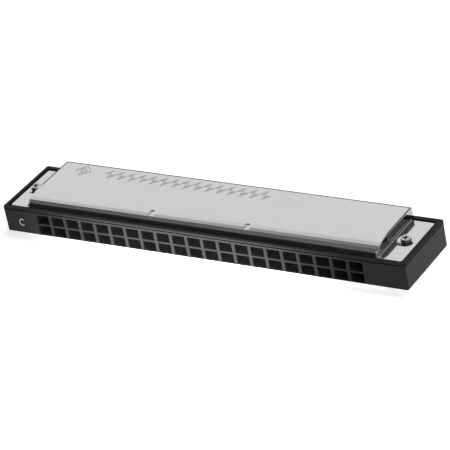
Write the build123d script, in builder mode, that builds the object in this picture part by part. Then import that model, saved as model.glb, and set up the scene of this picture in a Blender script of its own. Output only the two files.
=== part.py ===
from build123d import *
import os

os.makedirs("parts", exist_ok=True)

# Tremolo harmonica, in millimetres. +X runs from the low notes to the high notes, -Y faces the
# player and +Z is up. The origin is under the middle of the comb, on the surface it lies on.

# ---- Comb: the moulded body with two rows of air channels ----
COMB_LENGTH = 172.0
COMB_DEPTH = 31.3
COMB_BOTTOM = 4.7
COMB_TOP = 15.25
CORNER_RADIUS = 0.8
TOP_FILLET = 0.2
BOTTOM_FILLET = 0.1
FRONT_Y = -COMB_DEPTH / 2
BACK_Y = COMB_DEPTH / 2

# The rows of holes, the covers and the screws all sit a little to the left of the comb's middle.
SHIFT = -1.0

COLUMNS = 21
PITCH = 6.72
HOLE_WIDTH = 5.32
UPPER_HOLE = (9.65, 13.25)
LOWER_HOLE = (5.15, 8.8)
HOLE_CHAMFER = 0.15

# The rim around the top recess, and the shadow groove under it along the front.
RIM_LEFT = 1.5
RIM_RIGHT = 2.0
RIM_FRONT = 1.3
RIM_BACK = 1.8
GROOVE_BOTTOM = 14.2
GROOVE_HEIGHT = 0.4
GROOVE_DEPTH = 0.6
GROOVE_STOP = 1.4

# ---- Plates and covers, mirrored about the middle plane ----
MIDDLE_Z = 9.45
MIDDLE = Plane.XY.offset(MIDDLE_Z)
PLATE_BOTTOM = 13.25
PLATE_THICKNESS = 1.0
PLATE_TOP = PLATE_BOTTOM + PLATE_THICKNESS
PLATE_FRONT_Y = -10.2
PLATE_BACK_Y = 13.2
SHEET = 0.5
FLANGE_TOP = PLATE_TOP + SHEET
FLANGE_RADIUS = 1.0
FLANGE_GAP = 0.4
ASSEMBLY_GAP = 0.1

COVER_TOP = 18.9
COVER_HALF_LENGTH = 74.8
COVER_END_LEAN = 0.2
COVER_FRONT_Y = -13.15
COVER_FRONT_LEAN = 0.44
COVER_SHOULDER = (-12.05, 16.75)
COVER_CREST_Y = -1.65
COVER_REAR_Y = 15.55
COVER_CREST_RADIUS = 26.2
SHOULDER_RADIUS = 2.5
LIP_RADIUS = 1.0
DIMPLE_X = 20.4
DIMPLE_CENTRE_Y = -9.85
DIMPLE_CENTRE_Z = 19.0
DIMPLE_RADIUS = 1.6

# ---- Cover screws ----
SCREW_X = 79.8
SCREW_HEAD_RADIUS = 1.95
SCREW_HEAD_HEIGHT = 1.3
SCREW_SHANK_RADIUS = 1.0
SCREW_LENGTH = 5.0
SCREW_CLEARANCE = 0.25
CROSS_WIDTH = 0.6
CROSS_LENGTH = 2.1
CROSS_DEPTH = 0.8

# ---- Reeds ----
LONGEST_SLOT = 14.6
SHORTEST_SLOT = 9.0
SLOT_Y = 1.5
SLOT_WIDTH = 2.16
REED_WIDTH = 2.0
REED_THICKNESS = 0.2
REED_LIFT = 0.02
REED_ROOT_GAP = 0.03
REED_TIP_GAP = 0.12
FOOT_LENGTH = 2.2
FOOT_WIDTH = 2.8
FOOT_THICKNESS = 0.35
CHANNEL_MARGIN = 0.5
RIVET_RADIUS = 0.55
RIVET_HEAD_RADIUS = 0.85
RIVET_HEAD_HEIGHT = 0.3

# ---- Pins that nail each plate to the comb ----
PIN_BARS = (0, 5, 11, 16, 21)
PIN_FRONT_Y = -9.2
PIN_BACK_Y = 12.3
PIN_RADIUS = 0.45
PIN_HEAD_RADIUS = 0.8
PIN_HEAD_HEIGHT = 0.3
PIN_LENGTH = 3.4


def column_x(column):
    """Middle of a column of holes, counted from 1 at the low notes."""
    return SHIFT + (column - (COLUMNS + 1) / 2) * PITCH


def bar_x(bar):
    """Middle of a bar between columns, counted from 0 at the low end."""
    return SHIFT + (bar - COLUMNS / 2) * PITCH


def slot_length(column):
    """Reed slots shorten evenly from the low notes to the high notes."""
    return LONGEST_SLOT + (SHORTEST_SLOT - LONGEST_SLOT) * (column - 1) / (COLUMNS - 1)


def blows(column):
    """Odd columns hold blow reeds, on the channel side; even ones hold draw reeds, outside."""
    return column % 2 == 1


def foot_side(column):
    """A blow reed is riveted at the back (+1) and a draw reed at the front (-1)."""
    return 1 if blows(column) else -1


def foot_y(column):
    """Middle of a reed's riveted foot."""
    return SLOT_Y + foot_side(column) * (slot_length(column) + FOOT_LENGTH) / 2


def foot_bottom(column):
    return PLATE_BOTTOM - FOOT_THICKNESS if blows(column) else PLATE_TOP


def tongue_bottom(column):
    return PLATE_BOTTOM - REED_LIFT - REED_THICKNESS if blows(column) else PLATE_TOP + REED_LIFT


def save(piece, name):
    piece.part.label = name
    export_step(piece.part, f"parts/{name}.step")


def save_pair(upper, name):
    """Writes an upper piece, and its mirror image as the lower one."""
    save(upper, f"upper_{name}")
    with BuildPart() as lower:
        mirror(upper.part, about=MIDDLE)
    save(lower, f"lower_{name}")


columns = range(1, COLUMNS + 1)
screw_spots = [(SHIFT - SCREW_X, 0), (SHIFT + SCREW_X, 0)]
pin_spots = [(bar_x(bar), y) for bar in PIN_BARS for y in (PIN_FRONT_Y, PIN_BACK_Y)]
rivet_spots = [(column_x(column), foot_y(column)) for column in columns]
recess_left = -COMB_LENGTH / 2 + RIM_LEFT
recess_right = COMB_LENGTH / 2 - RIM_RIGHT
recess_x = (recess_left + recess_right) / 2
recess_length = recess_right - recess_left
recess_front = FRONT_Y + RIM_FRONT
recess_back = BACK_Y - RIM_BACK
recess_y = (recess_front + recess_back) / 2
recess_depth = recess_back - recess_front
plate_length = recess_length - 2 * ASSEMBLY_GAP
plate_y = (PLATE_FRONT_Y + PLATE_BACK_Y) / 2
plate_depth = PLATE_BACK_Y - PLATE_FRONT_Y

# ---- Comb ----
with BuildPart() as comb_body:
    with BuildSketch(Plane.XY.offset(COMB_BOTTOM)):
        RectangleRounded(COMB_LENGTH, COMB_DEPTH, CORNER_RADIUS)
    extrude(amount=COMB_TOP - COMB_BOTTOM)
    fillet(comb_body.edges().group_by(Axis.Z)[-1], TOP_FILLET)
    fillet(comb_body.edges().group_by(Axis.Z)[0], BOTTOM_FILLET)

    # Top recess: wide for the cover's flange, and a step deeper for the plate.
    with BuildSketch(Plane.XY.offset(PLATE_TOP)):
        with Locations((recess_x, recess_y)):
            Rectangle(recess_length, recess_depth)
    extrude(amount=COMB_TOP - PLATE_TOP, mode=Mode.SUBTRACT)
    plate_recess_depth = plate_depth + ASSEMBLY_GAP
    with BuildSketch(Plane.XY.offset(PLATE_BOTTOM)):
        with Locations((recess_x, plate_y)):
            Rectangle(recess_length, plate_recess_depth)
    extrude(amount=PLATE_THICKNESS, mode=Mode.SUBTRACT)

    # Bottom recess for the lower plate.
    with BuildSketch(Plane.XY.offset(COMB_BOTTOM)):
        with Locations((recess_x, plate_y)):
            Rectangle(recess_length, plate_recess_depth)
    extrude(amount=2 * MIDDLE_Z - PLATE_BOTTOM - COMB_BOTTOM, mode=Mode.SUBTRACT)

    # Air channels, open at the front and closed behind each reed.
    for bottom, top in (LOWER_HOLE, UPPER_HOLE):
        with BuildSketch(Plane.XY.offset(bottom)):
            for column in columns:
                back = SLOT_Y + slot_length(column) / 2 + FOOT_LENGTH + CHANNEL_MARGIN
                with Locations((column_x(column), (FRONT_Y + back) / 2)):
                    Rectangle(HOLE_WIDTH, back - FRONT_Y)
        extrude(amount=top - bottom, mode=Mode.SUBTRACT)

    # Softened mouths of the channels.
    for bottom, top in (LOWER_HOLE, UPPER_HOLE):
        with BuildSketch(Plane.XZ.offset(-FRONT_Y)):
            for column in columns:
                with Locations((column_x(column), (bottom + top) / 2)):
                    Rectangle(HOLE_WIDTH + 2 * HOLE_CHAMFER, top - bottom + 2 * HOLE_CHAMFER)
        extrude(amount=-HOLE_CHAMFER, taper=45, mode=Mode.SUBTRACT)

    # Shadow groove under the front rim, stopping short of the right-hand corner.
    with BuildSketch(Plane.XZ.offset(-FRONT_Y - GROOVE_DEPTH)):
        with Locations((-GROOVE_STOP, GROOVE_BOTTOM + GROOVE_HEIGHT / 2)):
            Rectangle(COMB_LENGTH, GROOVE_HEIGHT)
    extrude(amount=2 * GROOVE_DEPTH, mode=Mode.SUBTRACT)

    # Pilot holes for the screws and the plate pins, from both sides.
    screw_depth = SCREW_LENGTH - SHEET - PLATE_THICKNESS
    pin_depth = PIN_LENGTH - PLATE_THICKNESS
    for spots, radius, depth in (
        (screw_spots, SCREW_SHANK_RADIUS, screw_depth),
        (pin_spots, PIN_RADIUS, pin_depth),
    ):
        for start in (PLATE_BOTTOM - depth, 2 * MIDDLE_Z - PLATE_BOTTOM):
            with BuildSketch(Plane.XY.offset(start)):
                with Locations(*spots):
                    Circle(radius)
            extrude(amount=depth, mode=Mode.SUBTRACT)
save(comb_body, "comb_body")

# ---- Reed plates ----
with BuildPart() as reed_plate:
    with BuildSketch(Plane.XY.offset(PLATE_BOTTOM)):
        with Locations((recess_x, plate_y)):
            Rectangle(plate_length, plate_depth)
        for column in columns:
            with Locations((column_x(column), SLOT_Y)):
                Rectangle(SLOT_WIDTH, slot_length(column), mode=Mode.SUBTRACT)
        with Locations(*rivet_spots):
            Circle(RIVET_RADIUS, mode=Mode.SUBTRACT)
        with Locations(*pin_spots):
            Circle(PIN_RADIUS, mode=Mode.SUBTRACT)
        with Locations(*screw_spots):
            Circle(SCREW_SHANK_RADIUS + SCREW_CLEARANCE, mode=Mode.SUBTRACT)
    extrude(amount=PLATE_THICKNESS)
save_pair(reed_plate, "reed_plate")

# ---- Covers: a domed sheet, closed at the front and ends and open at the back ----
def dome(inset):
    """The solid under the cover's outer face, or under its inner face when inset by the sheet."""
    base = PLATE_TOP - inset
    front = COVER_FRONT_Y - inset * COVER_FRONT_LEAN
    half = COVER_HALF_LENGTH - inset
    with BuildPart() as solid:
        with BuildSketch(Plane.YZ.offset(SHIFT - half)) as section:
            with BuildLine():
                Line((front, base), COVER_SHOULDER)
                RadiusArc(COVER_SHOULDER, (COVER_CREST_Y, COVER_TOP), COVER_CREST_RADIUS)
                Line((COVER_CREST_Y, COVER_TOP), (COVER_REAR_Y, COVER_TOP))
                Line((COVER_REAR_Y, COVER_TOP), (COVER_REAR_Y, base))
                Line((COVER_REAR_Y, base), (front, base))
            make_face()
            fillet(section.vertices().group_by(Axis.X)[1], SHOULDER_RADIUS)
            fillet(section.vertices().group_by(Axis.Y)[-1].sort_by(Axis.X)[-1], LIP_RADIUS)
            if inset:
                offset(amount=-inset, kind=Kind.INTERSECTION, mode=Mode.REPLACE)
        extrude(amount=2 * half)
        with BuildSketch(Plane.XZ):
            with Locations((SHIFT, 0)):
                Polygon(
                    (-half, PLATE_TOP),
                    (half, PLATE_TOP),
                    (half - COVER_END_LEAN, COVER_TOP),
                    (COVER_END_LEAN - half, COVER_TOP),
                    align=None,
                )
        extrude(amount=COMB_DEPTH, both=True, mode=Mode.INTERSECT)
    return solid.part


dome_outside = dome(0)
dome_inside = dome(SHEET)
with BuildPart() as cover:
    add(dome_outside)
    add(dome_inside, mode=Mode.SUBTRACT)
    # The back stays open under the curled lip.
    inner_length = 2 * (COVER_HALF_LENGTH - SHEET)
    inner_rear = COVER_REAR_Y - SHEET
    opening_height = COVER_TOP - LIP_RADIUS - PLATE_TOP
    with BuildSketch(Plane.XY.offset(PLATE_TOP)):
        with Locations((SHIFT, inner_rear + SHEET)):
            Rectangle(inner_length, 2 * SHEET)
    extrude(amount=opening_height, mode=Mode.SUBTRACT)
    # The end walls step up over the comb's back rim.
    with BuildSketch(Plane.XY.offset(PLATE_TOP)):
        with Locations((SHIFT, recess_back - ASSEMBLY_GAP)):
            Rectangle(COMB_LENGTH, RIM_BACK + SHEET, align=(Align.CENTER, Align.MIN))
    extrude(amount=COMB_TOP + ASSEMBLY_GAP - PLATE_TOP, mode=Mode.SUBTRACT)

    # Two shallow round dimples above the front shoulder.
    with Locations(
        (SHIFT - DIMPLE_X, DIMPLE_CENTRE_Y, DIMPLE_CENTRE_Z),
        (SHIFT + DIMPLE_X, DIMPLE_CENTRE_Y, DIMPLE_CENTRE_Z),
    ):
        Sphere(DIMPLE_RADIUS, mode=Mode.SUBTRACT)

    # Flange: a strip along the front and a wide tab with a screw hole at each end.
    with BuildSketch(Plane.XY.offset(PLATE_TOP)):
        with Locations((recess_x, recess_y)):
            RectangleRounded(
                recess_length - 2 * FLANGE_GAP,
                recess_depth - 2 * FLANGE_GAP,
                FLANGE_RADIUS,
            )
        inner_front = COVER_FRONT_Y + SHEET
        with Locations((SHIFT, (inner_front + BACK_Y) / 2)):
            Rectangle(inner_length, BACK_Y - inner_front, mode=Mode.SUBTRACT)
        with Locations(*screw_spots):
            Circle(SCREW_SHANK_RADIUS + SCREW_CLEARANCE, mode=Mode.SUBTRACT)
    extrude(amount=SHEET)
save_pair(cover, "cover")

# ---- Cover screws: pan heads with a cross recess ----
with BuildPart() as cover_screws:
    with BuildSketch(Plane.XY.offset(FLANGE_TOP - SCREW_LENGTH)):
        with Locations(*screw_spots):
            Circle(SCREW_SHANK_RADIUS)
    extrude(amount=SCREW_LENGTH)
    with BuildSketch(Plane.XY.offset(FLANGE_TOP)):
        with Locations(*screw_spots):
            Circle(SCREW_HEAD_RADIUS)
    extrude(amount=SCREW_HEAD_HEIGHT)
    fillet(cover_screws.edges().group_by(Axis.Z)[-1], SCREW_HEAD_HEIGHT / 2)
    with BuildSketch(Plane.XY.offset(FLANGE_TOP + SCREW_HEAD_HEIGHT)):
        with Locations(*screw_spots):
            Rectangle(CROSS_LENGTH, CROSS_WIDTH)
            Rectangle(CROSS_WIDTH, CROSS_LENGTH)
    extrude(amount=-CROSS_DEPTH, mode=Mode.SUBTRACT)
save_pair(cover_screws, "cover_screws")

# ---- Plate pins ----
with BuildPart() as plate_pins:
    with BuildSketch(Plane.XY.offset(PLATE_TOP - PIN_LENGTH)):
        with Locations(*pin_spots):
            Circle(PIN_RADIUS)
    extrude(amount=PIN_LENGTH)
    with BuildSketch(Plane.XY.offset(PLATE_TOP)):
        with Locations(*pin_spots):
            Circle(PIN_HEAD_RADIUS)
    extrude(amount=PIN_HEAD_HEIGHT)
save_pair(plate_pins, "plate_pins")

# ---- Reed feet, each drilled for its rivet ----
with BuildPart() as reed_feet:
    for column in columns:
        with BuildSketch(Plane.XY.offset(foot_bottom(column))):
            with Locations((column_x(column), foot_y(column))):
                Rectangle(FOOT_WIDTH, FOOT_LENGTH)
                Circle(RIVET_RADIUS, mode=Mode.SUBTRACT)
        extrude(amount=FOOT_THICKNESS)
save_pair(reed_feet, "reed_feet")

# ---- Rivets, headed on both sides ----
with BuildPart() as reed_rivets:
    for column in columns:
        spot = (column_x(column), foot_y(column))
        low = PLATE_BOTTOM - (FOOT_THICKNESS if blows(column) else 0)
        high = PLATE_TOP + (0 if blows(column) else FOOT_THICKNESS)
        with BuildSketch(Plane.XY.offset(low)):
            with Locations(spot):
                Circle(RIVET_RADIUS)
        extrude(amount=high - low)
        for bottom in (low - RIVET_HEAD_HEIGHT, high):
            with BuildSketch(Plane.XY.offset(bottom)):
                with Locations(spot):
                    Circle(RIVET_HEAD_RADIUS)
            extrude(amount=RIVET_HEAD_HEIGHT)
save_pair(reed_rivets, "reed_rivets")

# ---- Reed tongues: each one springs at the edge of its foot ----
for column in columns:
    tongue_length = slot_length(column) - REED_ROOT_GAP - REED_TIP_GAP
    tongue_y = SLOT_Y + foot_side(column) * (REED_TIP_GAP - REED_ROOT_GAP) / 2
    with BuildPart() as reed:
        with BuildSketch(Plane.XY.offset(tongue_bottom(column))):
            with Locations((column_x(column), tongue_y)):
                Rectangle(REED_WIDTH, tongue_length)
        extrude(amount=REED_THICKNESS)
    save_pair(reed, f"reed_{column:02d}")
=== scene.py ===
"""Tremolo harmonica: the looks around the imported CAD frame.

Lengths are in millimetres, except those of the stage, the lamps and the fine bumps, in metres.
"""

import math

import bmesh
import bpy
from mathutils import Matrix, Vector


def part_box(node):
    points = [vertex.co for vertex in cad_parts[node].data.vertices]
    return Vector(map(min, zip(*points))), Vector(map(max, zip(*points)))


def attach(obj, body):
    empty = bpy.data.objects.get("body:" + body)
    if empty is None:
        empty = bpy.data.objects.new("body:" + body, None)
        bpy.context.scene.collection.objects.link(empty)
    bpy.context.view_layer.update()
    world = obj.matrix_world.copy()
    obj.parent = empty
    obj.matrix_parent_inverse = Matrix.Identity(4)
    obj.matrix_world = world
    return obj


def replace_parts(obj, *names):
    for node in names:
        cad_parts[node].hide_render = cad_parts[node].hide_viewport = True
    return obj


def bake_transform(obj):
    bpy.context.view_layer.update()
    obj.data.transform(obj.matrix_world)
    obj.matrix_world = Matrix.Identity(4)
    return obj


MM = 0.001
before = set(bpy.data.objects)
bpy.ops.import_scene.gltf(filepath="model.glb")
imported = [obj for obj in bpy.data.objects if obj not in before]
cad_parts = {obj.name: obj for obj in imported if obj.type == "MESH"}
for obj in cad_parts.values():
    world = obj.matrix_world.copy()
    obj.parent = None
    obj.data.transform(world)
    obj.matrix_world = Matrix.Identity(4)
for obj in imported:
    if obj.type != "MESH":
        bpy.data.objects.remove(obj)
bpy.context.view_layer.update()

# ---- Sizes read from the frame ----
comb_low, comb_high = (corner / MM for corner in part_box("comb_body"))
cover_low, cover_high = (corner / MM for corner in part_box("upper_cover"))
plate_low, plate_high = (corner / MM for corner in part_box("upper_reed_plate"))
screws_low, screws_high = (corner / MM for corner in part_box("upper_cover_screws"))
_, lower_plate_high = (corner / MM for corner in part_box("lower_reed_plate"))
# The lower half mirrors the upper one about MIDDLE_Z, and the covers are centred on x = SHIFT.
MIDDLE_Z = (plate_low.z + lower_plate_high.z) / 2
SHIFT = (screws_low.x + screws_high.x) / 2
SCREW_HEAD = (screws_high.y - screws_low.y) / 2
SCREW_X = (screws_high.x - screws_low.x) / 2 - SCREW_HEAD

# ---- Comb ----
GROOVE_Z = 14.4
RIM_BACK = 1.8

# ---- Sheet-metal cover: its dome ----
SHEET = 0.5
COVER_TOP = cover_high.z
COVER_HALF = 74.8
LEFT_LEAN = 0.6
RIGHT_LEAN = 0.05
WALL_FOOT_Y = -12.93
SHOULDER = (-12.05, 16.75)
CREST_Y = -1.65
CREST_RADIUS = 26.2
CREST_LINES = (-9.8, -8.4, -7.0, -5.6, -4.2, -2.9, CREST_Y)
REAR_Y = cover_high.y
LIP_RADIUS = 1.0
CORNER_RADIUS = 0.6
# The soft edge at the rear and the left end: distance inward, drop and rounding of each corner.
EASED_EDGE = ((1.05, 0.0, 0.9), (0.25, 0.16, 0.3), (0.0, 0.5, 0.2))

# ---- Sheet-metal cover: its flange ----
FLANGE_TOP = plate_high.z + SHEET
FLANGE_FRONT = WALL_FOOT_Y - 0.25
FLANGE_GAP = 0.4
FLANGE_BACK = comb_high.y - RIM_BACK - FLANGE_GAP
FLANGE_CORNER_RADIUS = 1.0
EDGE_ROUNDING = 0.16
EDGE_DROP = 0.05
SCREW_HOLE = 1.3
DISH_INNER = 1.9
DISH_RADIUS = 4.3
DISH_DEPTH = 0.3

# ---- Pressed ornament and dimples ----
ORNAMENT_Y = 10.0
ORNAMENT_REACH = 3.6
ORNAMENT_START = -54.6
ORNAMENT_CELL = 4.88
ORNAMENT_CELLS = 15
ORNAMENT_LINE = 0.38
ORNAMENT_HEIGHT = 0.24
END_FIGURE_X = -64.6
DIMPLE_X = 20.4
DIMPLE_Y = -9.45
DIMPLE_SIZE = 1.5
DIMPLE_EDGE = 0.75
DIMPLE_DEPTH = 0.13

# ---- Spacing of the cover's mesh lines ----
ORNAMENT_STEP = 0.17
DIMPLE_STEP = 0.16
TAB_STEP_X = 0.35
TAB_STEP_Y = 0.45
COARSE_STEP = 4.0

# ---- Screws ----
HEAD_HEIGHT = screws_high.z - FLANGE_TOP
SCREW_END = screws_low.z - FLANGE_TOP
CROSS_HALF_WIDTH = 0.3
CROSS_HALF_LENGTH = 1.15
CROSS_DEPTH = 0.8
CROWN_DROP = 0.2
CROWN_STEP = 0.062

# ---- Reeds ----
COLUMNS = 21
REED_THICKNESS = 0.2
REED_HALF_WIDTH = 1.0
REED_LIFT = 0.02
REED_BENDS = 10
FOOT_LENGTH = 2.2
FOOT_HALF_WIDTH = 1.4
FOOT_THICKNESS = 0.35
ROOT_GAP = 0.03


def mesh_object(name, points, faces, material, smooth=True):
    """A mesh object from points in millimetres."""
    mesh = bpy.data.meshes.new(name)
    mesh.from_pydata([[c * MM for c in p] for p in points], [], faces)
    mesh.validate()
    mesh.update()
    if smooth:
        mesh.shade_smooth()
    obj = bpy.data.objects.new(name, mesh)
    bpy.context.scene.collection.objects.link(obj)
    mesh.materials.append(material)
    return obj


def mirrored(points, faces):
    """The lower half's copy of the upper half's faces, still facing outward."""
    return [(x, y, 2 * MIDDLE_Z - z) for x, y, z in points], [face[::-1] for face in faces]


# ---------------------------------------------------------------- material helpers
def new_material(name):
    material = bpy.data.materials.new(name)
    material.use_nodes = True
    tree = material.node_tree
    return material, tree, tree.nodes["Principled BSDF"]


def object_coords(tree, scale=(1, 1, 1)):
    coords = tree.nodes.new("ShaderNodeTexCoord")
    mapping = tree.nodes.new("ShaderNodeMapping")
    mapping.inputs["Scale"].default_value = scale
    tree.links.new(coords.outputs["Object"], mapping.inputs["Vector"])
    return mapping.outputs["Vector"]


def noise_texture(tree, vector, scale, detail):
    texture = tree.nodes.new("ShaderNodeTexNoise")
    texture.inputs["Scale"].default_value = scale
    texture.inputs["Detail"].default_value = detail
    texture.inputs["Roughness"].default_value = 0.55
    tree.links.new(vector, texture.inputs["Vector"])
    return texture.outputs["Fac"]


def ramp(tree, value, low, high, out_low, out_high):
    """Maps a value from one range to another, clamped."""
    node = tree.nodes.new("ShaderNodeMapRange")
    node.inputs["From Min"].default_value = low
    node.inputs["From Max"].default_value = high
    node.inputs["To Min"].default_value = out_low
    node.inputs["To Max"].default_value = out_high
    tree.links.new(value, node.inputs["Value"])
    return node.outputs["Result"]


def colour_ramp(tree, value, low, high):
    node = tree.nodes.new("ShaderNodeValToRGB")
    node.color_ramp.elements[0].color = (*low, 1)
    node.color_ramp.elements[1].color = (*high, 1)
    tree.links.new(value, node.inputs["Fac"])
    return node.outputs["Color"]


def bump(tree, shader, height, distance, strength):
    node = tree.nodes.new("ShaderNodeBump")
    node.inputs["Distance"].default_value = distance
    node.inputs["Strength"].default_value = strength
    tree.links.new(height, node.inputs["Height"])
    tree.links.new(node.outputs["Normal"], shader.inputs["Normal"])


def combined(tree, operation, first, second):
    """Two node outputs added or multiplied."""
    node = tree.nodes.new("ShaderNodeMath")
    node.operation = operation
    tree.links.new(first, node.inputs[0])
    tree.links.new(second, node.inputs[1])
    return node.outputs[0]


def size_of(tree, value):
    """A value without its sign."""
    node = tree.nodes.new("ShaderNodeMath")
    node.operation = "ABSOLUTE"
    tree.links.new(value, node.inputs[0])
    return node.outputs[0]


def distance_from(tree, value, middle):
    """How far a value is from a fixed one, on either side."""
    node = tree.nodes.new("ShaderNodeMath")
    node.operation = "SUBTRACT"
    node.inputs[1].default_value = middle
    tree.links.new(value, node.inputs[0])
    return size_of(tree, node.outputs[0])


def axes(tree, source, output):
    """The X, Y and Z outputs of a new coordinate node."""
    split = tree.nodes.new("ShaderNodeSeparateXYZ")
    tree.links.new(tree.nodes.new(source).outputs[output], split.inputs["Vector"])
    return split.outputs


def one_outside(tree, mask, value):
    """The value where the mask is 1, and 1 where the mask is 0."""
    mix = tree.nodes.new("ShaderNodeMix")
    mix.inputs["A"].default_value = 1.0
    tree.links.new(mask, mix.inputs["Factor"])
    tree.links.new(value, mix.inputs["B"])
    return mix.outputs["Result"]


def scaled(tree, colour, share):
    """A colour multiplied by a share."""
    node = tree.nodes.new("ShaderNodeVectorMath")
    node.operation = "SCALE"
    tree.links.new(colour, node.inputs[0])
    tree.links.new(share, node.inputs["Scale"])
    return node.outputs[0]


# ---------------------------------------------------------------- materials
# Painted dark reflection on a cover's ends, by how far the surface faces sideways: walls at 1, tight
# bends below.
END_PAINTED_REFLECTION = ((0.22, 1.0), (0.4, 0.25), (0.88, 0.25), (0.97, 0.47))


def painted_reflection(tree):
    """Painted dark reflection on the upright ends, tight bends and front foot of a cover.

    It stands in for the dark things around the sheet that those faces would mirror.
    """
    place = axes(tree, "ShaderNodeTexCoord", "Object")
    away = distance_from(tree, place["X"], SHIFT * MM)
    at_end = ramp(tree, away, (COVER_HALF - 1.5) * MM, (COVER_HALF - 1.3) * MM, 0, 1)
    sideways = size_of(tree, axes(tree, "ShaderNodeNewGeometry", "Normal")["X"])
    bends = tree.nodes.new("ShaderNodeValToRGB")
    stops = bends.color_ramp.elements
    for index, (position, grey) in enumerate(END_PAINTED_REFLECTION):
        stop = stops[index] if index < 2 else stops.new(position)
        stop.position = position
        stop.color = (grey, grey, grey, 1)
    tree.links.new(sideways, bends.inputs["Fac"])
    ends = one_outside(tree, at_end, bends.outputs["Color"])

    # The lowest part of the front wall and the strip before it get painted dark reflection as well.
    height = distance_from(tree, place["Z"], MIDDLE_Z * MM)
    foot = FLANGE_TOP - MIDDLE_Z
    strip = ramp(tree, height, (foot + 0.1) * MM, (foot + 0.3) * MM, 0.2, 0.5)
    wall = ramp(tree, height, (foot + 0.9) * MM, (foot + 1.4) * MM, 0.0, 0.5)
    at_front = ramp(tree, place["Y"], -11.8 * MM, -11.6 * MM, 1, 0)
    between_ends = ramp(tree, away, (COVER_HALF - 0.2) * MM, COVER_HALF * MM, 1, 0)
    at_foot = combined(tree, "MULTIPLY", at_front, between_ends)
    front = one_outside(tree, at_foot, combined(tree, "ADD", strip, wall))
    return combined(tree, "MULTIPLY", ends, front)


def chrome_material():
    """Polished sheet: near-mirror, with faint lengthwise polishing marks, soft smudges and painted
    dark reflection on its ends, tight bends and front foot.
    """
    material, tree, shader = new_material("chrome_sheet")
    shader.inputs["Metallic"].default_value = 1.0
    smudge = noise_texture(tree, object_coords(tree), 45, 5)
    polish = noise_texture(tree, object_coords(tree, (60, 2600, 2600)), 1.0, 3)
    silver = colour_ramp(tree, smudge, (0.74, 0.74, 0.745), (0.80, 0.80, 0.80))
    # The silver is darkened by painted reflection on the ends, tight bends and front foot.
    tree.links.new(scaled(tree, silver, painted_reflection(tree)), shader.inputs["Base Color"])
    tree.links.new(ramp(tree, smudge, 0.3, 0.7, 0.07, 0.12), shader.inputs["Roughness"])
    bump(tree, shader, polish, 0.000004, 0.12)
    return material


def plastic_material():
    """Black moulded plastic: satin, with a fine mould grain, a few dull patches and painted shade in
    the groove under the rim.
    """
    material, tree, shader = new_material("black_plastic")
    patches = noise_texture(tree, object_coords(tree), 60, 4)
    grain = noise_texture(tree, object_coords(tree), 5200, 2)
    black = colour_ramp(tree, patches, (0.005, 0.005, 0.0052), (0.009, 0.009, 0.0092))

    # Painted shade: the narrow groove under the rim is darkened nearly to black and has no sheen.
    place = axes(tree, "ShaderNodeNewGeometry", "Position")
    away = distance_from(tree, place["Z"], GROOVE_Z * MM)
    level = ramp(tree, away, 0.24 * MM, 0.28 * MM, 1, 0)
    inside = ramp(tree, place["Y"], (comb_low.y + 0.06) * MM, (comb_low.y + 0.1) * MM, 0, 1)
    groove = combined(tree, "MULTIPLY", level, inside)
    lit = ramp(tree, groove, 0, 1, 1, 0.05)
    tree.links.new(scaled(tree, black, lit), shader.inputs["Base Color"])
    tree.links.new(ramp(tree, groove, 0, 1, 0.1, 0), shader.inputs["Specular IOR Level"])
    tree.links.new(ramp(tree, patches, 0.3, 0.7, 0.25, 0.33), shader.inputs["Roughness"])
    shader.inputs["IOR"].default_value = 1.45
    bump(tree, shader, grain, 0.00003, 0.18)
    return material


def brass_material(name, low, high, roughness, stretch):
    """Brass with rolling or filing marks drawn out along one direction."""
    material, tree, shader = new_material(name)
    shader.inputs["Metallic"].default_value = 1.0
    patches = noise_texture(tree, object_coords(tree), 90, 5)
    marks = noise_texture(tree, object_coords(tree, stretch), 1.0, 3)
    tree.links.new(colour_ramp(tree, patches, low, high), shader.inputs["Base Color"])
    spread = ramp(tree, marks, 0.3, 0.7, roughness - 0.06, roughness + 0.08)
    tree.links.new(spread, shader.inputs["Roughness"])
    bump(tree, shader, marks, 0.00001, 0.25)
    return material


def screw_material():
    """Nickel-plated steel, with painted dark reflection on its upright faces."""
    material, tree, shader = new_material("nickel_steel")
    shader.inputs["Metallic"].default_value = 1.0
    wear = noise_texture(tree, object_coords(tree), 900, 4)
    # Painted dark reflection: the steel is darker the more upright the face.
    level = size_of(tree, axes(tree, "ShaderNodeNewGeometry", "Normal")["Z"])
    share = ramp(tree, level, 0.4, 0.93, 0.12, 1.0)
    nickel = colour_ramp(tree, wear, (0.66, 0.66, 0.67), (0.8, 0.8, 0.81))
    tree.links.new(scaled(tree, nickel, share), shader.inputs["Base Color"])
    tree.links.new(ramp(tree, wear, 0.3, 0.7, 0.13, 0.22), shader.inputs["Roughness"])
    return material


def recess_shade_material():
    """A dark steel as painted shade at the bottom of a cross recess."""
    material, tree, shader = new_material("recess_painted_shade")
    shader.inputs["Metallic"].default_value = 1.0
    wear = noise_texture(tree, object_coords(tree), 900, 4)
    dark = colour_ramp(tree, wear, (0.03, 0.03, 0.03), (0.06, 0.06, 0.06))
    tree.links.new(dark, shader.inputs["Base Color"])
    shader.inputs["Roughness"].default_value = 0.4
    return material


def paint_material():
    """Pale printed ink, a little uneven."""
    material, tree, shader = new_material("pale_ink")
    cover = noise_texture(tree, object_coords(tree), 2500, 3)
    pale = colour_ramp(tree, cover, (0.2, 0.2, 0.2), (0.28, 0.28, 0.28))
    tree.links.new(pale, shader.inputs["Base Color"])
    shader.inputs["Roughness"].default_value = 0.5
    return material


ROLLED = (40, 1800, 1800)
FILED = (2400, 60, 2400)

chrome = chrome_material()
plastic = plastic_material()
plate_brass = brass_material("plate_brass", (0.46, 0.38, 0.24), (0.62, 0.52, 0.34), 0.34, ROLLED)
reed_brass = brass_material("reed_brass", (0.52, 0.43, 0.27), (0.70, 0.58, 0.38), 0.26, FILED)
steel = screw_material()
recess = recess_shade_material()
ink = paint_material()


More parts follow.
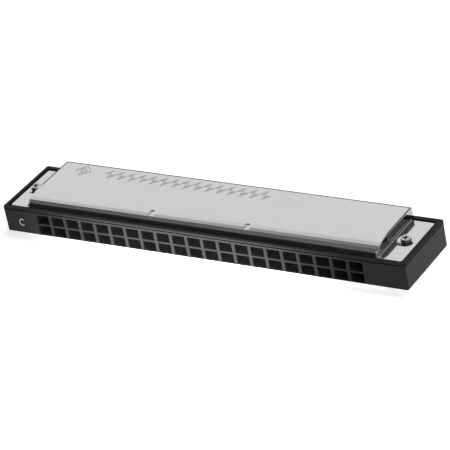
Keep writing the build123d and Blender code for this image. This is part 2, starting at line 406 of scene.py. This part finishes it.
# ---------------------------------------------------------------- cover: profiles
def rounded(points, radii, steps=8, ease=0.06):
    """A polyline with its corners turned into arcs, and a point just before and after each arc."""
    path = [Vector(points[0])]
    for before, corner, after, radius in zip(points, points[1:], points[2:], radii[1:]):
        corner = Vector(corner)
        if not radius:
            path.append(corner)
            continue
        inward = (Vector(before) - corner).normalized()
        outward = (Vector(after) - corner).normalized()
        half = inward.angle(outward) / 2
        reach = radius / math.tan(half)
        centre = corner + (inward + outward).normalized() * radius / math.sin(half)
        start = corner + inward * reach - centre
        turn = start.angle_signed(corner + outward * reach - centre)
        path.append(corner + inward * (reach + ease))
        for step in range(steps + 1):
            spin = Matrix.Rotation(-turn * step / steps, 2)
            path.append(centre + spin @ start)
        path.append(corner + outward * (reach + ease))
    path.append(Vector(points[-1]))
    return [tuple(p) for p in path]


def crest_z(y):
    drop = CREST_RADIUS - math.sqrt(CREST_RADIUS**2 - (y - CREST_Y) ** 2)
    return COVER_TOP - drop


def between(here, there, share):
    """The point at a share of the way from one point to another."""
    return tuple(a + (b - a) * share for a, b in zip(here, there))


def fill(values, most):
    """Adds evenly spaced values where two neighbours are further apart than most."""
    full = [values[0]]
    for low, high in zip(values, values[1:]):
        parts = max(1, math.ceil((high - low) / most - 1e-6))
        full += [low + (high - low) * part / parts for part in range(1, parts + 1)]
    return full


def subdivided(lines, low, high, step):
    """Mesh lines, with more of them between low and high so that none are a step apart."""
    full = [lines[0]]
    for here, there in zip(lines, lines[1:]):
        inside = low <= (here[0] + there[0]) / 2 <= high
        parts = max(1, math.ceil((there[0] - here[0]) / step)) if inside else 1
        full += [between(here, there, part / parts) for part in range(1, parts + 1)]
    return full


def front_profile(flat_lines):
    """(y, z) of the outer face from the front of the flange, over the dome, to the rear lip."""
    crest = [(y, crest_z(y)) for y in CREST_LINES]
    points = [(FLANGE_FRONT, FLANGE_TOP), (WALL_FOOT_Y, FLANGE_TOP), SHOULDER, *crest]
    radii = [0, 0.12, 2.4, *[0] * len(crest)]
    points += [(y, COVER_TOP) for y in flat_lines]
    radii += [0] * len(flat_lines)
    for inward, drop, radius in EASED_EDGE:
        points.append((REAR_Y - inward, COVER_TOP - drop))
        radii.append(radius)
    points.append((REAR_Y, COVER_TOP - LIP_RADIUS - 0.1))
    radii.append(0)
    return rounded(points, radii)


def end_profile(edge, lean, eased):
    """(distance from the dome's middle, z) of the outer face, from the flange's edge inward."""
    wall_top = COVER_HALF - 0.05
    points = [(step - edge, FLANGE_TOP) for step in (0, EDGE_ROUNDING / 2, EDGE_ROUNDING)]
    points.append((-wall_top - lean, FLANGE_TOP))
    radii = [0, 0, 0, 0.8]
    if eased:
        for inward, drop, radius in reversed(EASED_EDGE):
            points.append((inward - wall_top, COVER_TOP - drop))
            radii.append(radius)
    else:
        points.append((-wall_top, COVER_TOP))
        radii.append(0.6)
    points.append((6 - wall_top, COVER_TOP))
    radii.append(0)
    path = rounded(points, radii)
    # One more line just above the comb's rim, where the flange's back edge is cut.
    step_z = comb_high.z + 0.1
    for (x0, z0), (x1, z1) in zip(path, path[1:]):
        if z0 < step_z < z1:
            share = (step_z - z0) / (z1 - z0)
            path.append((x0 + (x1 - x0) * share, step_z))
            break
    return sorted(path)


def blend_heights(a, b):
    """The lower of two heights above the flange, rounded where they cross."""
    lower = min(a, b)
    top = COVER_TOP - FLANGE_TOP
    soft = 0.8 * min(1.0, max(0.0, lower) / 0.8, max(0.0, top - lower) / 0.8)
    if soft < 1e-6:
        return lower
    mix = max(soft - abs(a - b), 0.0) / soft
    return lower - mix * mix * soft * 0.25


# ---------------------------------------------------------------- cover: pressed details
def smoothed(share):
    """A share from 0 to 1, eased at both ends."""
    return share * share * (3 - 2 * share)


def lozenge(x, y, half_width, half_height):
    """Distance from a lozenge's outline, negative inside."""
    size = math.hypot(half_width, half_height)
    return (abs(x) * half_height + abs(y) * half_width - half_width * half_height) / size


def ornament(x, y):
    """Height of the pressed ornament: a large outlined lozenge, and a band of smaller ones."""
    across = y - ORNAMENT_Y
    if abs(across) > 4:
        return 0.0
    distances = []
    beside = x - END_FIGURE_X
    if abs(beside) < 5:
        distances = [abs(lozenge(beside, across, *half)) for half in ((3.3, 3.2), (1.5, 1.4))]
    cell = math.floor((x - ORNAMENT_START) / ORNAMENT_CELL)
    if 0 <= cell < ORNAMENT_CELLS:
        along = x - ORNAMENT_START - (cell + 0.5) * ORNAMENT_CELL
        distances = [abs(lozenge(along, across, *half)) for half in ((2.3, 2.7), (1.0, 1.2))]
    if not distances:
        return 0.0
    return ORNAMENT_HEIGHT * smoothed(max(0.0, 1 - min(distances) / ORNAMENT_LINE))


def dimples(x, y):
    """Depth of the two shallow round dimples above the front shoulder."""
    away = math.hypot(abs(x - SHIFT) - DIMPLE_X, y - DIMPLE_Y)
    return DIMPLE_DEPTH * smoothed(min(1.0, max(0.0, (DIMPLE_SIZE - away) / DIMPLE_EDGE)))


def dish(x, y):
    """How far the flange is drawn down around a tightened screw."""
    away = math.hypot(abs(x - SHIFT) - SCREW_X, y)
    outward = max(0.0, away - DISH_INNER) / (DISH_RADIUS - DISH_INNER)
    return DISH_DEPTH * smoothed(max(0.0, 1 - outward))


def edge_drop(x, y):
    """How far the flange's rim bends down along its cut edge."""
    inside = min(x - cover_low.x, cover_high.x - x, FLANGE_BACK - y)
    share = min(1.0, max(0.0, 1 - inside / EDGE_ROUNDING))
    return EDGE_DROP * share * share


def circled(p, q):
    """How far a point of a unit square's corner moves, so that the square becomes a circle."""
    return p * math.sqrt(1 - q * q / 2) - p, q * math.sqrt(1 - p * p / 2) - q


def round_flange_corner(x, y):
    """Moves points near a flange corner so that its square becomes a quarter circle."""
    radius = FLANGE_CORNER_RADIUS
    past_x = max(cover_low.x + radius - x, x - cover_high.x + radius, 0.0)
    past_y = max(FLANGE_FRONT + radius - y, y - FLANGE_BACK + radius, 0.0)
    p, q = min(1.0, past_x / radius), min(1.0, past_y / radius)
    if not p or not q:
        return x, y
    move_p, move_q = circled(p, q)
    return x + (radius if x > 0 else -radius) * move_p, y + (radius if y > 0 else -radius) * move_q


def round_dome_corner(x, y, z):
    """Rounds the upright corners between the front and the ends, seen from above."""
    climb = min(1.0, (z - FLANGE_TOP) / (SHOULDER[1] - FLANGE_TOP))
    wall_y = WALL_FOOT_Y + (SHOULDER[0] - WALL_FOOT_Y) * climb
    p = min(1.0, max(0.0, (abs(x - SHIFT) - COVER_HALF) / CORNER_RADIUS + 1))
    q = min(1.0, max(0.0, (wall_y - y) / CORNER_RADIUS + 1))
    if not p or not q:
        return x, y
    move_p, move_q = circled(p, q)
    side = 1 if x > SHIFT else -1
    return x + side * move_p * CORNER_RADIUS, y - move_q * CORNER_RADIUS


# ---------------------------------------------------------------- cover: mesh
def cover_rows(upper):
    """(y, z) of the mesh lines that run along the cover, from front to rear."""
    flat_lines = [-0.8, 2.5, 6.1]
    if upper:
        flat_lines += fill([ORNAMENT_Y - ORNAMENT_REACH, ORNAMENT_Y + ORNAMENT_REACH], ORNAMENT_STEP)
    else:
        flat_lines += [ORNAMENT_Y]
    profile = front_profile(flat_lines)
    rows = []
    for here, there in zip(profile, profile[1:]):
        rows.append(here)
        # The dimples lie between these two lines.
        parts = 8 if -11.2 < here[0] < -8.2 else 1
        rows += [between(here, there, part / parts) for part in range(1, parts)]
        (y0, z0), (y1, z1) = here, there
        for y in (FLANGE_BACK - EDGE_ROUNDING, FLANGE_BACK - EDGE_ROUNDING / 2, FLANGE_BACK):
            if y0 < y < y1:
                rows.append((y, z0 + (z1 - z0) * (y - y0) / (y1 - y0)))
    rows.append(profile[-1])
    return subdivided(rows, -5, 5, TAB_STEP_Y)


def cover_columns(upper):
    """(x, z) of the mesh lines that run across the cover, from left to right."""
    left = end_profile(SHIFT - cover_low.x, LEFT_LEAN, True)
    right = end_profile(cover_high.x - SHIFT, RIGHT_LEAN, False)
    stops = [left[-1][0] + SHIFT, SHIFT - left[-1][0]]
    if upper:
        band_end = ORNAMENT_START + ORNAMENT_CELL * ORNAMENT_CELLS
        stops += fill([END_FIGURE_X - 3.8, band_end], ORNAMENT_STEP)
    for spot in (SHIFT - DIMPLE_X, SHIFT + DIMPLE_X):
        stops += fill([spot - 1.6, spot + 1.6], DIMPLE_STEP)
    inner = fill(sorted({round(x, 4) for x in stops}), COARSE_STEP)
    columns = [(SHIFT + x, z) for x, z in left]
    columns += [(x, COVER_TOP) for x in inner[1:-1]]
    columns += [(SHIFT - x, z) for x, z in reversed(right)]
    # More lines across the flange's tabs, for the dish around each screw.
    columns = subdivided(columns, SHIFT - SCREW_X - 5, SHIFT - SCREW_X + 4.9, TAB_STEP_X)
    return subdivided(columns, SHIFT + SCREW_X - 4.9, SHIFT + SCREW_X + 5, TAB_STEP_X)


def cover_point(x, y, rise, upper):
    """A point of the outer face, moved by the rounded corners and the pressed details."""
    z = FLANGE_TOP + rise
    if rise < 0.05:
        z -= dish(x, y)
    if rise < 0.01:
        z -= edge_drop(x, y)
        moved = round_flange_corner(x, y)
    else:
        moved = round_dome_corner(x, y, z)
    if upper and rise > 4:
        z += ornament(x, y)
    return (*moved, z - dimples(x, y))


def build_cover(name, upper):
    """The pressed cover: flange, dome, rounded edges, dimples, and on the upper one the ornament."""
    rows, columns = cover_rows(upper), cover_columns(upper)
    points = []
    for y, front_z in rows:
        for x, end_z in columns:
            rise = blend_heights(front_z - FLANGE_TOP, end_z - FLANGE_TOP)
            points.append(cover_point(x, y, rise, upper))
    width = len(columns)
    faces = []
    for row in range(len(rows) - 1):
        for column in range(width - 1):
            corner = row * width + column
            quad = (corner, corner + 1, corner + width + 1, corner + width)
            middle = sum((Vector(points[i]) for i in quad), Vector()) / 4
            behind = middle.y > FLANGE_BACK and middle.z < comb_high.z + 0.1
            bored = math.hypot(abs(middle.x - SHIFT) - SCREW_X, middle.y) < SCREW_HOLE
            if not behind and not bored:
                faces.append(quad)
    if not upper:
        points, faces = mirrored(points, faces)
    obj = mesh_object(name, points, faces, chrome)
    tool = bmesh.new()
    tool.from_mesh(obj.data)
    loose = [v for v in tool.verts if not v.link_faces]
    bmesh.ops.delete(tool, geom=loose, context="VERTS")
    tool.to_mesh(obj.data)
    tool.free()
    thick = obj.modifiers.new("sheet", "SOLIDIFY")
    thick.thickness = SHEET * MM
    thick.offset = -1
    thick.use_even_offset = True
    even = obj.modifiers.new("even", "WEIGHTED_NORMAL")
    even.keep_sharp = True
    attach(obj, "comb")
    return obj


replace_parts(build_cover("upper_cover_sheet", True), "upper_cover")
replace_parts(build_cover("lower_cover_sheet", False), "lower_cover")


# ---------------------------------------------------------------- comb and small CAD pieces
def finish_node(name, material, width):
    """A better material and softened edges on a CAD node."""
    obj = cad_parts[name]
    obj.data.materials.clear()
    obj.data.materials.append(material)
    weld = obj.modifiers.new("weld", "WELD")
    weld.merge_threshold = 0.002 * MM
    edge = obj.modifiers.new("edge", "BEVEL")
    edge.width = width * MM
    edge.segments = 2
    edge.limit_method = "ANGLE"
    edge.angle_limit = math.radians(35)
    edge.harden_normals = True


finish_node("comb_body", plastic, 0.1)
for side in ("upper", "lower"):
    finish_node(f"{side}_reed_plate", plate_brass, 0.05)
    finish_node(f"{side}_plate_pins", plate_brass, 0.08)
    finish_node(f"{side}_reed_rivets", reed_brass, 0.1)


# ---------------------------------------------------------------- screws
def cross_depth(x, y):
    """Depth of the cross recess, with sloping walls."""
    u, v = abs(x), abs(y)
    inside = max(
        min(CROSS_HALF_WIDTH - u, CROSS_HALF_LENGTH - v),
        min(CROSS_HALF_LENGTH - u, CROSS_HALF_WIDTH - v),
    )
    wall = min(1.0, max(0.0, (inside + 0.03) / 0.12))
    taper = 1 - 0.45 * math.hypot(x, y) / CROSS_HALF_LENGTH
    return CROSS_DEPTH * wall * taper


def screw_rings():
    """(radius, height above the flange) from the crown to the end of the shank."""
    crown = [step * CROWN_STEP for step in range(1, 25)]
    rings = [(r, HEAD_HEIGHT - CROWN_DROP * (r / SCREW_HEAD) ** 2) for r in crown]
    # The rounded edge of the head: how far inside its radius and below its top.
    edge = ((0.34, 0.16), (0.2, 0.22), (0.08, 0.34), (0.02, 0.5), (0.0, 0.7))
    rings += [(SCREW_HEAD - inward, HEAD_HEIGHT - drop) for inward, drop in edge]
    rings += [(SCREW_HEAD, 0.0), (SCREW_HEAD - 0.05, -0.14), (1.0, -0.16), (1.0, -0.3)]
    return rings + [(1.0, SCREW_END + 0.4), (0.7, SCREW_END)]


def cover_screw(name, x, upper, turned):
    """A pan-head screw with a cross recess, its shank running down through the plate."""
    rings = screw_rings()
    count = 72
    points = [(x, 0, FLANGE_TOP + HEAD_HEIGHT - cross_depth(0, 0))]
    for r, z in rings:
        for step in range(count):
            angle = 2 * math.pi * step / count
            on_crown = z > HEAD_HEIGHT - CROWN_DROP - 0.01 and r < 1.5
            depth = cross_depth(r * math.cos(angle), r * math.sin(angle)) if on_crown else 0.0
            spin = angle + turned
            points.append((x + r * math.cos(spin), r * math.sin(spin), FLANGE_TOP + z - depth))
    points.append((x, 0, FLANGE_TOP + SCREW_END))
    following = [(i, (i + 1) % count) for i in range(count)]
    faces = [(0, 1 + i, 1 + j) for i, j in following]
    for ring in range(len(rings) - 1):
        low, high = 1 + ring * count, 1 + (ring + 1) * count
        faces += [(low + i, high + i, high + j, low + j) for i, j in following]
    last = 1 + (len(rings) - 1) * count
    faces += [(len(points) - 1, last + j, last + i) for i, j in following]
    if not upper:
        points, faces = mirrored(points, faces)
    obj = mesh_object(name, points, faces, steel)
    # The second material is painted shade for the faces deep in the cross recess.
    obj.data.materials.append(recess)
    for polygon in obj.data.polygons:
        place = Vector((polygon.center.x / MM - x, polygon.center.y / MM))
        spot = Matrix.Rotation(-turned, 2) @ place
        on_head = abs(polygon.center.z / MM - MIDDLE_Z) > FLANGE_TOP - MIDDLE_Z + 0.3
        if on_head and cross_depth(*spot) > 0.12:
            polygon.material_index = 1
    obj.data.set_sharp_from_angle(angle=math.radians(50))
    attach(obj, "comb")
    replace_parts(obj, "upper_cover_screws" if upper else "lower_cover_screws")


cover_screw("upper_screw_left", SHIFT - SCREW_X, True, 0.5)
cover_screw("upper_screw_right", SHIFT + SCREW_X, True, 0.25)
cover_screw("lower_screw_left", SHIFT - SCREW_X, False, 1.1)
cover_screw("lower_screw_right", SHIFT + SCREW_X, False, 0.8)


# ---------------------------------------------------------------- reeds
def reed_strip(side, column):
    """One strip of brass: its foot stays on the plate and its tongue runs straight from the root to
    the tip.
    """
    node = f"{side}_reed_{column:02d}"
    low, high = (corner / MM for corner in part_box(node))
    middle = (low.x + high.x) / 2
    blow = column % 2 == 1
    back = 1 if blow else -1
    root = high.y + ROOT_GAP if blow else low.y - ROOT_GAP
    tip = low.y if blow else high.y
    # Along the strip: y, half width, and the heights of its two faces above the plate.
    sections = [
        (root + back * FOOT_LENGTH, FOOT_HALF_WIDTH - 0.1, 0.0, FOOT_THICKNESS - 0.05),
        (root + back * (FOOT_LENGTH - 0.1), FOOT_HALF_WIDTH, 0.0, FOOT_THICKNESS),
        (root + back * 0.3, FOOT_HALF_WIDTH, 0.0, FOOT_THICKNESS),
        (root + back * 0.05, REED_HALF_WIDTH, 0.0, FOOT_THICKNESS - 0.05),
    ]
    for step in range(REED_BENDS + 1):
        y = root + (tip - root) * step / REED_BENDS
        sections.append((y, REED_HALF_WIDTH, REED_LIFT, REED_LIFT + REED_THICKNESS))
    points, faces = [], []
    for y, half, near, far in sections:
        for x, away in ((-half, near), (half, near), (half, far), (-half, far)):
            z = plate_low.z - away if blow else plate_high.z + away
            points.append((middle + x, y, z if side == "upper" else 2 * MIDDLE_Z - z))
    for row in range(len(sections) - 1):
        a, b = 4 * row, 4 * row + 4
        faces += [(a + i, b + i, b + (i + 1) % 4, a + (i + 1) % 4) for i in range(4)]
    faces += [(0, 1, 2, 3), tuple(range(len(points) - 4, len(points)))]
    name = f"{side}_reed_strip_{column:02d}"
    obj = mesh_object(name, points, faces, reed_brass, smooth=False)
    tool = bmesh.new()
    tool.from_mesh(obj.data)
    bmesh.ops.recalc_face_normals(tool, faces=tool.faces)
    tool.to_mesh(obj.data)
    tool.free()
    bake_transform(obj)
    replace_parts(obj, node, f"{side}_reed_feet")


for side in ("upper", "lower"):
    for column in range(1, COLUMNS + 1):
        reed_strip(side, column)


# ---------------------------------------------------------------- key letter on the front
def key_letter():
    """A thin printed C: an arc of ink on the plain left end of the front."""
    centre_x, centre_z = -78.3, 9.2
    radius, stroke, film, tallness = 1.12, 0.29, 0.03, 1.15
    opening = math.radians(48)
    steps = 28
    points, faces = [], []
    for step in range(steps + 1):
        turn = opening + (2 * math.pi - 2 * opening) * step / steps
        for r in (radius - stroke / 2, radius + stroke / 2):
            for y in (comb_low.y - film, comb_low.y + film):
                x = centre_x + r * math.cos(turn)
                points.append((x, y, centre_z + tallness * r * math.sin(turn)))
    for step in range(steps):
        a, b = 4 * step, 4 * step + 4
        faces += [(a, b, b + 2, a + 2), (a + 1, a + 3, b + 3, b + 1)]
        faces += [(a, a + 1, b + 1, b), (a + 2, b + 2, b + 3, a + 3)]
    last = 4 * steps
    faces += [(0, 2, 3, 1), (last, last + 1, last + 3, last + 2)]
    obj = mesh_object("key_letter", points, faces, ink, smooth=False)
    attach(obj, "comb")


key_letter()


# ---------------------------------------------------------------- stage, light and camera
def plain_material(name, grey):
    material, _, shader = new_material(name)
    shader.inputs["Base Color"].default_value = (grey, grey, grey, 1)
    shader.inputs["Roughness"].default_value = 0.9
    shader.inputs["Specular IOR Level"].default_value = 0.0
    return material


def stage_plane(name, centre, size, material):
    """A flat board or floor."""
    bpy.ops.mesh.primitive_plane_add(size=1, location=centre)
    obj = bpy.context.object
    obj.name = name
    obj.scale = (*size, 1)
    obj.data.materials.append(material)
    return obj


def on_sphere(azimuth, elevation, distance):
    """A place seen from the origin: azimuth 0 is in front (-Y) and 90 is to the right (+X)."""
    a, e = math.radians(azimuth), math.radians(elevation)
    return Vector((math.sin(a) * math.cos(e), -math.cos(a) * math.cos(e), math.sin(e))) * distance


def add_lamp(light, place, aim):
    """Puts a lamp in the scene, aimed at a point and hidden from reflections."""
    obj = bpy.data.objects.new(light.name, light)
    obj.visible_glossy = False
    obj.location = place
    obj.rotation_euler = (aim - obj.location).to_track_quat("-Z", "Y").to_euler()
    bpy.context.scene.collection.objects.link(obj)


def soft_light(name, azimuth, elevation, distance, width, height, power):
    light = bpy.data.lights.new(name, "AREA")
    light.shape = "RECTANGLE"
    light.size, light.size_y = width, height
    light.energy = power
    add_lamp(light, on_sphere(azimuth, elevation, distance), Vector())


def pool_light():
    """A narrow soft pool of light on the low and middle holes."""
    light = bpy.data.lights.new("pool_light", "SPOT")
    light.energy = 620
    light.spot_size = math.radians(8.0)
    light.spot_blend = 1.0
    light.shadow_soft_size = 0.015
    add_lamp(light, on_sphere(5, 8, 1.0), Vector((-8, -16, 8)) * MM)


def card(name, azimuth, elevation, distance, left, right, bottom, top, albedo):
    """A grey board facing the object; its edges are measured from the middle of that direction."""
    middle = on_sphere(azimuth, elevation, distance)
    turn = (-middle).to_track_quat("Z", "Y")
    centre = middle + turn @ Vector(((left + right) / 2, (bottom + top) / 2, 0))
    obj = stage_plane(name, centre, (right - left, top - bottom), plain_material(name, albedo))
    obj.rotation_euler = turn.to_euler()


def add_floor():
    """A pale floor that glows a little, so that it stays light under the object."""
    material = plain_material("pale_floor", 0.9)
    shader = material.node_tree.nodes["Principled BSDF"]
    shader.inputs["Emission Color"].default_value = (1, 1, 1, 1)
    shader.inputs["Emission Strength"].default_value = 0.35
    stage_plane("floor", (0, 0, 0), (12, 12), material)


def studio_world():
    """A pale studio that is brightest near the horizon and dimmer overhead."""
    world = bpy.data.worlds.new("studio")
    world.use_nodes = True
    tree = world.node_tree
    up = axes(tree, "ShaderNodeTexCoord", "Generated")["Z"]
    background = tree.nodes["Background"]
    tree.links.new(ramp(tree, up, 0.78, 0.86, 0.79, 0.42), background.inputs["Strength"])
    background.inputs["Color"].default_value = (1, 1, 1, 1)
    bpy.context.scene.world = world


add_floor()
card("card_front_low", -33, 13, 1.6, -1.1, 1.1, -0.42, 0.43, 0.02)
card("card_front_high", -60, 45, 1.75, -1.1, 0.88, -0.5, 1.15, 0.09)
card("card_right_back", 144, 29, 1.6, -0.42, 0.42, -0.36, 0.32, 0.11)
card("card_back_low", 217, 9, 1.9, -0.5, 0.5, -0.27, 0.28, 0.02)
soft_light("key_light", 75, 58, 2.0, 1.2, 1.2, 22)
soft_light("low_front_light", 30, 14, 1.7, 2.4, 0.8, 30)
pool_light()
studio_world()
bpy.context.scene.view_settings.view_transform = "Standard"

CAMERA_AZIMUTH = 35.99
CAMERA_ELEVATION = 29.36
CAMERA_ROLL = -11.44
CAMERA_DISTANCE = 960.7
CAMERA_TARGET = Vector((14.33, comb_low.y, 21.19))
CAMERA_LENS = 214.4


def add_camera():
    """The camera at the photo's angle, fitted to the edges and holes seen there."""
    back = on_sphere(CAMERA_AZIMUTH, CAMERA_ELEVATION, 1)
    right = (-back).cross(Vector((0, 0, 1))).normalized()
    up = right.cross(-back)
    turn = math.radians(CAMERA_ROLL)
    x_axis = right * math.cos(turn) + up * math.sin(turn)
    y_axis = up * math.cos(turn) - right * math.sin(turn)
    data = bpy.data.cameras.new("camera")
    data.lens = CAMERA_LENS
    data.sensor_width = 36
    data.clip_start, data.clip_end = 0.01, 50
    obj = bpy.data.objects.new("camera", data)
    place = (CAMERA_TARGET + back * CAMERA_DISTANCE) * MM
    turned = Matrix((x_axis, y_axis, back)).transposed()
    obj.matrix_world = Matrix.Translation(place) @ turned.to_4x4()
    bpy.context.scene.collection.objects.link(obj)
    bpy.context.scene.camera = obj


add_camera()
